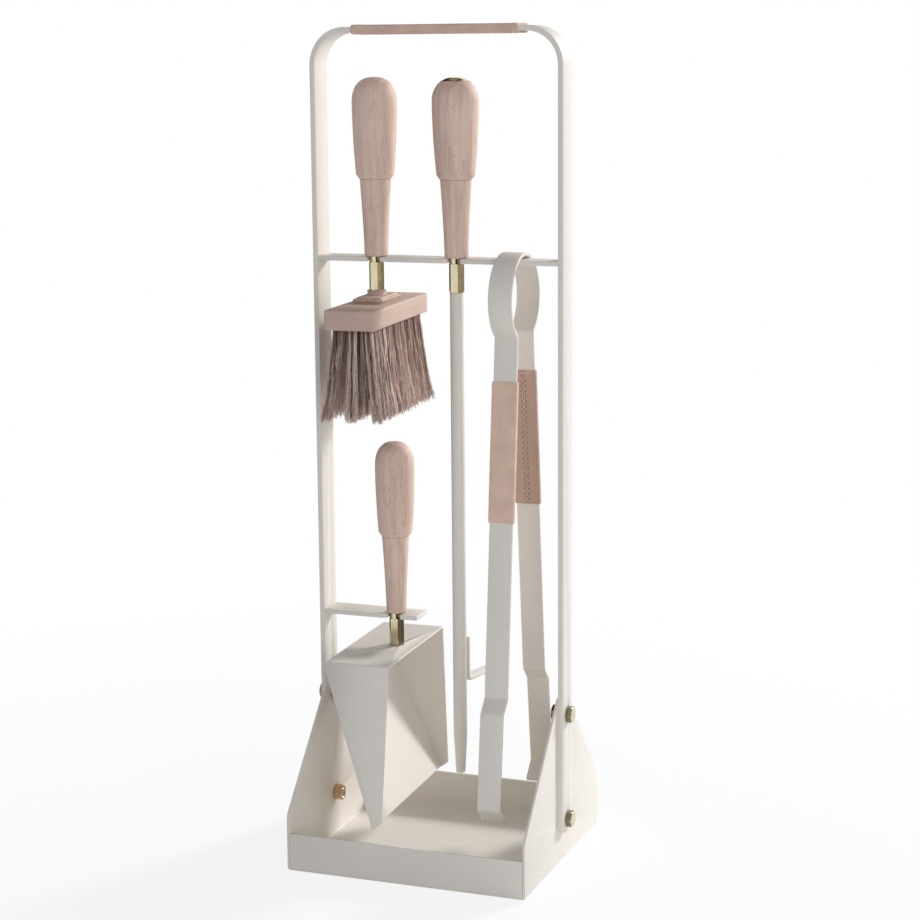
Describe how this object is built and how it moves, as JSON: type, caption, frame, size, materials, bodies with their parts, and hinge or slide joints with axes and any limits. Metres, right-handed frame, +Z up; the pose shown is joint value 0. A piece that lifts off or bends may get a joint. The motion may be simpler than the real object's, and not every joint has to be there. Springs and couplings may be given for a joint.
{
  "type": "fireplace tool set",
  "caption": "Hearth stand with an ash tray base and a flat-bar frame that holds a brush, a poker, a dustpan and spring tongs, with wooden handles and brass ferrules.",
  "frame": {"origin": "centre of the tray's underside, on the floor", "axes": "+Z up, X across the frame from upright to upright, -Y to the front, where the tools pull out of their notches"},
  "size_m": [0.2372, 0.204, 0.7216],
  "materials": {
    "ivory_paint": "fine matt powder coat",
    "brass": "satin, lightly aged",
    "steel": "plain zinc-plated",
    "pale_beech": "turned, bleached and oiled",
    "leather": "natural vegetable-tanned, smooth",
    "sewing_thread": "waxed",
    "horsehair": "mixed brown and grey hair"
  },
  "bodies": {
    "stand": {"base_tray": "ivory_paint", "frame_strip": "ivory_paint", "crossbar": "ivory_paint", "pan_bracket": "ivory_paint", "frame_bolts": "brass", "frame_nuts": "brass", "grip_leather": "leather", "grip_thread": "sewing_thread"},
    "brush": {"brush_handle": "pale_beech", "brush_ferrule": "brass", "brush_rod": "steel", "brush_block": "pale_beech", "brush_bristles": "horsehair"},
    "poker": {"poker_handle": "pale_beech", "poker_mouthpiece": "brass", "poker_ferrule": "brass", "poker_air_pipe": "steel", "poker_tube": "ivory_paint", "poker_hook": "ivory_paint"},
    "dustpan": {"pan_handle": "pale_beech", "pan_ferrule": "brass", "pan_rod": "steel", "pan_nut": "steel", "pan_shell": "ivory_paint"},
    "tongs": {"tongs_bow": "ivory_paint"},
    "tongs_front": {"tongs_front_arm": "ivory_paint", "front_sleeve": "leather", "front_thread": "sewing_thread"},
    "tongs_rear": {"tongs_rear_arm": "ivory_paint", "rear_sleeve": "leather", "rear_thread": "sewing_thread"}
  },
  "joints": [
    {"name": "brush_pull", "type": "slide", "parent": "stand", "child": "brush", "axis": [0, -1, 0], "range_m": [0, 0.12]},
    {"name": "poker_pull", "type": "slide", "parent": "stand", "child": "poker", "axis": [0, -1, 0], "range_m": [0, 0.12]},
    {"name": "dustpan_pull", "type": "slide", "parent": "stand", "child": "dustpan", "axis": [0, -1, 0], "range_m": [0, 0.12]},
    {"name": "tongs_lift", "type": "slide", "parent": "stand", "child": "tongs", "axis": [0, 0, 1], "range_m": [0, 0.17]},
    {"name": "tongs_squeeze_front", "type": "hinge", "parent": "tongs", "child": "tongs_front", "pos_m": [0.066, -0.01921, 0.45699], "axis": [1, 0, 0], "range_deg": [0, 7.5], "stiffness_Nm_per_rad": 6, "springref_deg": -1.15},
    {"name": "tongs_squeeze_rear", "type": "hinge", "parent": "tongs", "child": "tongs_rear", "pos_m": [0.066, 0.01921, 0.45699], "axis": [1, 0, 0], "range_deg": [-7.5, 0], "stiffness_Nm_per_rad": 6, "springref_deg": 1.15}
  ],
  "couplings": [
    {"joint": "tongs_squeeze_rear", "follows": "tongs_squeeze_front", "ratio": -1}
  ]
}
